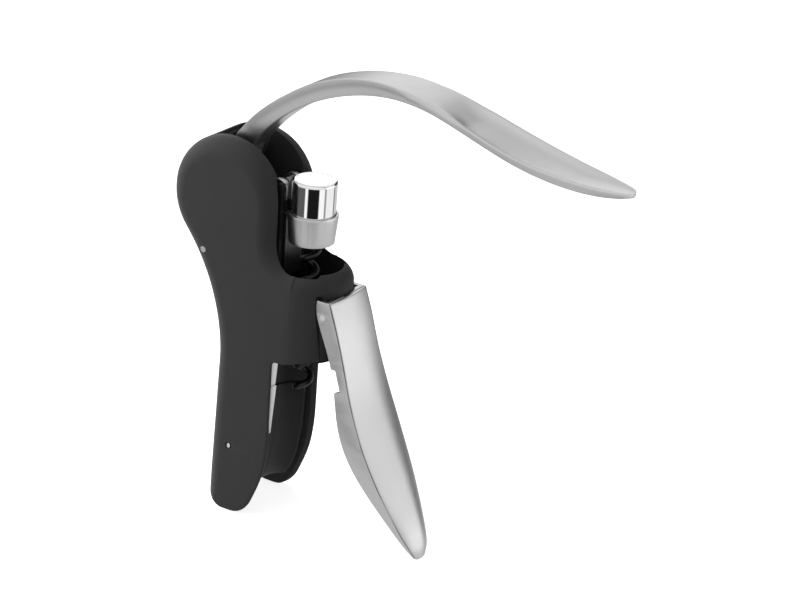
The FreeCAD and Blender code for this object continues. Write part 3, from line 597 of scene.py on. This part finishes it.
# ---------------------------------------------------------------- cradle liner and lever axle
# The liner is the neck cradle with its foot drawn down and its front edge reshaped; in millimetres
CRADLE_DROP = 8.5                 # the liner reaches this far down below the plain one
CRADLE_STRETCH = 12.0             # and this much of its foot is stretched to get there
# Height and front edge
LINER_FRONT = [(7.5, -15.5), (11.0, -12.8), (17.3, -10.4), (26.0, -8.5), (36.0, -7.4), (68.0, -7.2)]
LINER_LOOPS = (17.0, 18.5, 20.5, 23.0, 26.0, 34.0, 44.0)   # heights where the liner can bend
LINER_EDGE = 0.4
AXLE_END = mm(17.2)               # from the middle to each end of the axle
AXLE_EDGE = 0.2
HEAD_RADIUS = mm(1.4)             # of the heads outside it
HEAD_THICK = mm(1.0)
HEAD_SIDES = 48
HEAD_SINK = mm(0.1)               # how far a head lies inside the flank
HEAD_RIM = 0.3                    # shares of the radius: the flat rim, and the wall of the hollow in it
HEAD_WALL = 0.06
HEAD_HOLLOW = mm(0.2)


def cradle_skin():
    piece = copy_of("neck_cradle")
    low, high = (1000.0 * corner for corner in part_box("neck_cradle"))
    sliced(piece, LINER_LOOPS)
    for vertex in piece.data.vertices:
        x, y, z = 1000.0 * vertex.co
        z -= CRADLE_DROP * max(0.0, 1.0 - (z - low.z) / CRADLE_STRETCH)
        reach = eased(x, low.x, high.x)
        vertex.co = mm(x + reach * (at_height(LINER_FRONT, z) - high.x), y, z)
    bevelled(piece, LINER_EDGE, 2)
    settled(piece, "neck_liner", "inner_black", "housing", ["neck_cradle"])


def axle_head(centre):
    """A round head with a hollow in both its flat ends."""
    bpy.ops.object.select_all(action="DESELECT")
    bpy.ops.mesh.primitive_cylinder_add(vertices=HEAD_SIDES, radius=HEAD_RADIUS, depth=HEAD_THICK,
                                        location=centre, rotation=(radians(90.0), 0.0, 0.0))
    head = bpy.context.object
    bevelled(head, AXLE_EDGE, 2)
    in_edit(head)
    bpy.ops.mesh.select_all(action="DESELECT")
    leave_edit()
    for face in head.data.polygons:
        face.select = abs(face.normal.z) > 0.99
    in_edit(head)
    bpy.ops.mesh.inset(thickness=HEAD_RIM * HEAD_RADIUS)
    bpy.ops.mesh.inset(thickness=HEAD_WALL * HEAD_RADIUS, depth=-HEAD_HOLLOW)
    leave_edit()
    return head


def axle_skin():
    """The lever's axle, and the sunk round heads that close its holes in the flanks."""
    piece = copy_of("lever_axle")
    for vertex in piece.data.vertices:
        vertex.co.y = max(-AXLE_END, min(AXLE_END, vertex.co.y))
    bevelled(piece, AXLE_EDGE, 2)
    settled(piece, "axle_finished", "polished_pin", body_of_node("lever_axle"), ["lever_axle"])
    middle = middle_of("lever_axle")
    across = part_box("housing_right")[1].y - HEAD_THICK / 2.0 - HEAD_SINK
    shift = mm(at_height(WAIST_SHIFTS, 1000.0 * middle.z))   # the reshaped flanks' holes went this far
    heads = [axle_head((middle.x + shift, side * across, middle.z)) for side in (1.0, -1.0)]
    settled(joined(heads), "axle_heads", "brushed_steel", "housing", [])


# ---------------------------------------------------------------- cap and carriage
TURNS = 96
CAP_EDGE_STEPS = 6
CAP_EDGE = mm(1.1)                # rounding of the shoulder
CAP_WALL = mm(1.05)
CAP_SINK = mm(0.12)               # of the top inside its rim
CAP_TOP_FLAT = mm(0.5)            # from the rim's outline in to the flat of the sunk top
CAP_CORNER = mm(0.4)              # inside, under the ceiling
CAP_FOOT = mm(0.2)                # bevel of the lower edge
CAP_HOLD = mm(0.15)               # from a rounding to the ring that keeps the face beyond it straight
CAP_MIDDLE = mm(0.2)              # from the axis to both ends of the profile
# X and Y of the collar's outline on the left
COLLAR_OUTLINE = [(-6.0, -8.5), (-8.2, -7.4), (-10.3, -6.8), (-12.5, -6.65), (-17.6, -6.65),
                  (-17.6, -6.15), (-12.5, -6.15), (-10.3, -6.25), (-8.6, -6.5), (-6.6, -7.6)]
COLLAR_HEIGHTS = (135.3, 136.2)
COLLAR_EDGE = 0.15
CASTING_EDGE = 0.2
PLATES_END = mm(-8.6)
PLATES_TOP = mm(140.6)            # the plates take the dark inner finish below this height, and satin metal from here up


def turned(profile, centre):
    """A solid of revolution about a level centre; its profile runs from one end of the axis to the other."""
    rings = [[Vector((centre.x + radius * cos(2.0 * pi * turn / TURNS),
                      centre.y + radius * sin(2.0 * pi * turn / TURNS), height)) for turn in range(TURNS)]
             for radius, height in profile]
    return pulled_skin(rings)


def cap_skin():
    """The chrome cap: a turned cup with a rounded shoulder and a shallow sunk top."""
    low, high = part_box("chrome_cap")
    outer = (high.x - low.x) / 2.0
    inner = outer - CAP_WALL
    rim = outer - CAP_EDGE
    sunk = high.z - CAP_SINK
    ceiling = sunk - CAP_WALL
    profile = [
        (CAP_MIDDLE, ceiling),
        (inner - CAP_CORNER, ceiling),
        (inner, ceiling - CAP_CORNER),
        (inner, low.z),
        (outer - CAP_FOOT, low.z),
        (outer, low.z + CAP_FOOT),
        (outer, low.z + CAP_FOOT + CAP_HOLD),
        (outer, high.z - CAP_EDGE - CAP_HOLD),
    ]
    for step in range(CAP_EDGE_STEPS + 1):
        turn = radians(90.0 * step / CAP_EDGE_STEPS)
        profile.append((rim + CAP_EDGE * cos(turn), high.z - CAP_EDGE + CAP_EDGE * sin(turn)))
    profile += [
        (rim - CAP_HOLD, high.z),
        (rim - 2.0 * CAP_HOLD, sunk),
        (rim - CAP_TOP_FLAT, sunk),
        (0.5 * rim, sunk),
        (CAP_MIDDLE, sunk),
    ]
    piece = turned(profile, middle_of("chrome_cap"))
    settled(piece, "cap_shell", "chrome", body_of_node("chrome_cap"), ["chrome_cap"], ROUND_ANGLE)


def carriage_part(name, slot, cuts):
    """A part of the one casting: each cut is a point, a direction, and it keeps what lies that way."""
    piece = copy_of("carriage")
    for place, direction in cuts:
        in_edit(piece)
        bpy.ops.mesh.select_all(action="SELECT")
        bpy.ops.mesh.bisect(plane_co=place, plane_no=direction, use_fill=True, clear_inner=True)
        leave_edit()
    bevelled(piece, CASTING_EDGE, 2)
    settled(piece, name, slot, body_of_node("carriage"), ["carriage"])


def carriage_parts():
    behind, level = (PLATES_END, 0.0, 0.0), (0.0, 0.0, PLATES_TOP)
    carriage_part("carriage_ring", "satin_metal", [(behind, (1.0, 0.0, 0.0))])
    # The plates are dark below PLATES_TOP; their round tops above it are satin metal.
    carriage_part("carriage_plates", "inner_black", [(behind, (-1.0, 0.0, 0.0)), (level, (0.0, 0.0, -1.0))])
    carriage_part("carriage_tops", "satin_metal", [(behind, (-1.0, 0.0, 0.0)), (level, (0.0, 0.0, 1.0))])


def collar():
    """The bright lip that runs from the ring back along the plates, on both sides."""
    sides = []
    for side in (1.0, -1.0):
        outline = COLLAR_OUTLINE if side > 0 else COLLAR_OUTLINE[::-1]
        sides.append(pulled_skin([[mm(x, side * y, z) for x, y in outline] for z in COLLAR_HEIGHTS]))
    piece = joined(sides)
    bevelled(piece, COLLAR_EDGE, 2)
    settled(piece, "carriage_collar", "satin_metal", body_of_node("carriage"), [])


# ---------------------------------------------------------------- lever
# A bar of nearly square section that leaves the housing, rises, and spreads into a dished paddle. A run is
# where a change starts along the lever and where it is whole.
LEVER_STEP = mm(1.5)
LEVER_TIP_RUN = mm(9.0)           # stations stand closer over this last stretch
TIP_STATIONS = 9
TIP_TURN = 87.0                   # degrees of a quarter turn that the tip's outline takes
TAIL_RADIUS = mm(34.5)            # where the bar starts, from the pivot
TAIL_ANGLES = (83.5, 71.5)        # of its upper and its lower corner
TAIL_STRAIGHT = mm(-34.5)         # the upper line is straight up to here
FORK_RADIUS = mm(46.5)
FORK_HALF_WIDTH = mm(3.02)
FORK_CHEEK = mm(1.5)              # from the fork's slot to where its height is measured
SLANT_END = mm(35.0)              # stations lean back before this point, square to the bar
SLANT = 8.0 / 69.0
RIVET_HOLE = mm(1.52)             # radius
CUTTER_REACH = mm(20.0)
BEYOND = mm(300.0)                # outside the lever on every side

SPREAD_RUN = (mm(42.0), mm(74.0))
ROLL_START_RUN = (mm(38.0), mm(56.0))
ROLL_END_RUN = (mm(56.0), mm(74.0))
DISH_START_RUN = (mm(52.0), mm(78.0))
DISH_END_RUN = (mm(112.0), mm(138.0))
BAR_EDGE = mm(0.45)               # rounding of the bar's edges
ROLL_EDGE = mm(2.6)               # and where the upper face rolls over into the side
PADDLE_EDGE = mm(0.4)
RIM = mm(1.3)
WALL = mm(7.0)                    # run of the dish's side, from the rim down to its floor
DISH = mm(2.3)
DISH_END_LOSS = 0.75              # the share of its depth that the dish loses towards the tip
RIM_EDGE_HEIGHT = mm(3.1)
BELLY = 2.2                       # power of the curve of the paddle's underside
# Each of those is held to a share of the section: of its half width, or of its thickness
CORNER_TO_HALF = 0.3
CORNER_TO_THICK = 0.35
FOOT_TO_THICK = 0.3
RIM_TO_HALF = 0.16
WALL_TO_HALF = 0.6
DISH_TO_THICK = 0.55
RIM_EDGE_TO_THICK = 0.72
# Places on the section's lines, as shares of each
BAR_SHARES = (0.0, 0.15, 0.3, 0.42, 0.52, 0.62, 0.7, 0.77, 0.83)
UNDER_SHARES = (0.75, 0.5, 0.25, 0.0)
FLOOR_SHARES = (0.0, 0.35, 0.7, 1.0)
DISH_SHARES = (0.62, 0.36, 0.17, 0.06, 0.0)   # on the dish's side, counted from the rim
BELLY_SHARES = (0.95, 0.75, 0.5, 0.25, 0.0)
ROUND_SHARES = ((1.0, 0.0), (0.62, 0.076), (0.29, 0.29), (0.076, 0.62), (0.0, 1.0))   # in and down


def between(first, second, share):
    """Points that lie a share of the way from the first ones to the second ones."""
    return [(a[0] + (b[0] - a[0]) * share, a[1] + (b[1] - a[1]) * share) for a, b in zip(first, second)]


def lever_profile(x, half, thick):
    """Half the section at x, from the middle of the top to the middle of the underside: (across, down)."""
    corner = BAR_EDGE + (ROLL_EDGE - BAR_EDGE) * eased(x, *ROLL_START_RUN)
    corner += (PADDLE_EDGE - ROLL_EDGE) * eased(x, *ROLL_END_RUN)
    corner = min(corner, CORNER_TO_HALF * half, CORNER_TO_THICK * thick)
    round_over = [(half - inward * corner, down * corner) for inward, down in ROUND_SHARES]
    bar = [(share * half, 0.0) for share in BAR_SHARES]
    foot = min(BAR_EDGE, FOOT_TO_THICK * thick)
    bar_under = [(half, thick - foot), (half - foot, thick)]
    bar_under += [(share * half, thick) for share in UNDER_SHARES]
    rim = min(RIM, RIM_TO_HALF * half)
    wall = min(WALL, WALL_TO_HALF * half)
    depth = DISH * eased(x, *DISH_START_RUN) * (1.0 - DISH_END_LOSS * eased(x, *DISH_END_RUN))
    depth = min(depth, DISH_TO_THICK * thick)
    floor = half - corner - rim - wall
    paddle = [(share * floor, depth) for share in FLOOR_SHARES]
    paddle += [(floor + wall * (1.0 - share), depth * (1.0 - (1.0 - share) ** 3)) for share in DISH_SHARES]
    edge = min(RIM_EDGE_HEIGHT, RIM_EDGE_TO_THICK * thick)
    paddle_under = [(half, edge)]
    paddle_under += [(share * half, edge + (thick - edge) * (1.0 - share ** BELLY)) for share in BELLY_SHARES]
    spread = eased(x, *SPREAD_RUN)
    return between(bar, paddle, spread) + round_over + between(bar_under, paddle_under, spread)


def lever_rings():
    """Sections of the lever, measured on the frame's one."""
    solid = frame["nodes"]["lever"].data
    tree = BVHTree.FromPolygons([v.co for v in solid.vertices], [p.vertices for p in solid.polygons])
    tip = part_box("lever")[1].x
    pivot = middle_of("lever_axle")

    def height(x, direction):
        aside = (FORK_HALF_WIDTH + FORK_CHEEK) if x < 0.0 else 0.0
        hit = tree.ray_cast(Vector((x, aside, -direction * BEYOND)), Vector((0.0, 0.0, direction)))[0]
        return hit.z

    def half_width(middle):
        hit = tree.ray_cast(Vector((middle.x, BEYOND, middle.z)), Vector((0.0, -1.0, 0.0)))[0]
        return hit.y

    ends = []
    x = TAIL_STRAIGHT
    while x < tip - LEVER_TIP_RUN:
        ends.append((x, x + SLANT * max(0.0, SLANT_END - x)))
        x += LEVER_STEP
    for number in range(TIP_STATIONS):
        x = tip - LEVER_TIP_RUN * (1.0 - sin(radians(TIP_TURN * number / (TIP_STATIONS - 1))))
        ends.append((x, x))
    tops = [Vector((top, 0.0, height(top, -1.0))) for top, bottom in ends]
    bottoms = [Vector((bottom, 0.0, height(bottom, 1.0))) for top, bottom in ends]
    tail = [pivot + TAIL_RADIUS * Vector((cos(radians(angle)), 0.0, sin(radians(angle))))
            for angle in TAIL_ANGLES]
    tops.insert(0, tail[0])
    bottoms.insert(0, tail[1])
    rings = []
    for top, bottom in zip(tops, bottoms):
        half = half_width(top.lerp(bottom, 0.5))
        down = (bottom - top).normalized()
        side = lever_profile(top.x, half, (bottom - top).length)
        near = [top + down * depth - Vector((0.0, across, 0.0)) for across, depth in side]
        far = [top + down * depth + Vector((0.0, across, 0.0)) for across, depth in side[1:-1]]
        rings.append(near + far[::-1])
    return rings


def lever_skin():
    piece = pulled_skin(lever_rings())
    pivot = middle_of("lever_axle")
    cutters = [cross_cutter(FORK_RADIUS, (pivot.x, 0.0, pivot.z), FORK_HALF_WIDTH)]
    low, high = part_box("lever_rivets")
    inset = Vector((RIVET_HOLE, 0.0, RIVET_HOLE))
    for centre in (Vector((low.x, 0.0, low.z)) + inset, Vector((high.x, 0.0, high.z)) - inset):
        cutters.append(cross_cutter(RIVET_HOLE, centre, CUTTER_REACH))
    cut_away(piece, cutters)
    settled(piece, "lever_skin", "satin_metal", "lever", ["lever"], ROUND_ANGLE)


# ---------------------------------------------------------------- front handle
# Sections of the cover from the top down, in millimetres: height, side seam and crown in front of the
# barrel, and half width
COVER_SECTIONS = [
    (105.4, 0.2, 2.2, 13.2),
    (95.0, 4.0, 6.0, 13.2),
    (81.0, 8.4, 10.6, 13.2),
    (66.0, 13.4, 16.4, 14.2),
    (48.0, 20.8, 25.0, 14.8),
    (30.0, 29.6, 34.0, 13.2),
    (14.0, 37.8, 41.8, 9.6),
    (5.0, 42.4, 44.9, 6.4),
    (0.0, 43.8, 45.2, 3.2),
]
COVER_SEAM_GAP = mm(0.3)
COVER_EDGE_HEIGHT = mm(0.5)       # of the cover's plain edge, below its bow
COVER_EDGE_SHARE = 0.4            # and at most this share of the cover's depth
COVER_EDGE = 0.35                 # its rounding, and the least turn that is rounded, in degrees
COVER_EDGE_ANGLE = 40.0
COVER_STEPS = 6                   # rings from one section to the next
COVER_SPAN = 24                   # faces across the bow


def smooth_rows(rows, steps):
    """Rows on a smooth line through the given ones."""
    result = []
    for number in range(len(rows) - 1):
        before = rows[max(number - 1, 0)]
        after = rows[min(number + 2, len(rows) - 1)]
        start, end = rows[number], rows[number + 1]
        for step in range(steps):
            t = step / steps
            result.append(tuple(
                0.5 * (2 * b + (c - a) * t + (2 * a - 5 * b + 4 * c - d) * t * t
                       + (3 * b - 3 * c + d - a) * t ** 3)
                for a, b, c, d in zip(before, start, end, after)))
    return result + [rows[-1]]


def cover_rings():
    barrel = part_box("housing_right")[1].y
    rings = []
    for z, seam, crown, half in smooth_rows(COVER_SECTIONS, COVER_STEPS):
        z, half = mm(z), mm(half)
        back = barrel + mm(seam) + COVER_SEAM_GAP
        front = barrel + mm(crown)
        rise = min(COVER_EDGE_HEIGHT, COVER_EDGE_SHARE * (front - back))
        bow = front - back - rise
        radius = (half * half + bow * bow) / (2.0 * bow)
        reach = asin(half / radius)
        arc = [reach * (2.0 * number / COVER_SPAN - 1.0) for number in range(COVER_SPAN + 1)]
        ring = [Vector((front - radius * (1.0 - cos(turn)), radius * sin(turn), z)) for turn in arc]
        ring += [Vector((back, half, z)), Vector((back, -half, z))]
        rings.append(ring)
    return rings


def clamp_cover_skin():
    piece = pulled_skin(cover_rings())
    bevelled(piece, COVER_EDGE, 3, COVER_EDGE_ANGLE)
    settled(piece, "clamp_cover_skin", "satin_metal", "front_handle", ["clamp_cover"], ROUND_ANGLE)


def spring_skin():
    """The bowed leaf spring, whose bow lies on the barrel and whose ends the front handle presses; it is
    dressed in place and put on no body.
    """
    piece = copy_of("clamp_spring")
    dressed(piece, "spring_strip", "brushed_steel")
    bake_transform(piece)
    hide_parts("clamp_spring")


# ---------------------------------------------------------------- dressing
for part in frame["record"]["subparts"]:
    node = frame["nodes"][part["node"]]
    node.data.materials.clear()
    node.data.materials.append(FINISH[part["material_slot"]])

housing_skin("housing_left")
housing_skin("housing_right")
cradle_skin()
axle_skin()
carriage_parts()
collar()
softened("clamp_frame", "satin_metal", 0.2)
lever_skin()
clamp_cover_skin()
spring_skin()
cap_skin()
softened("worm", "coated_worm", 0.1)
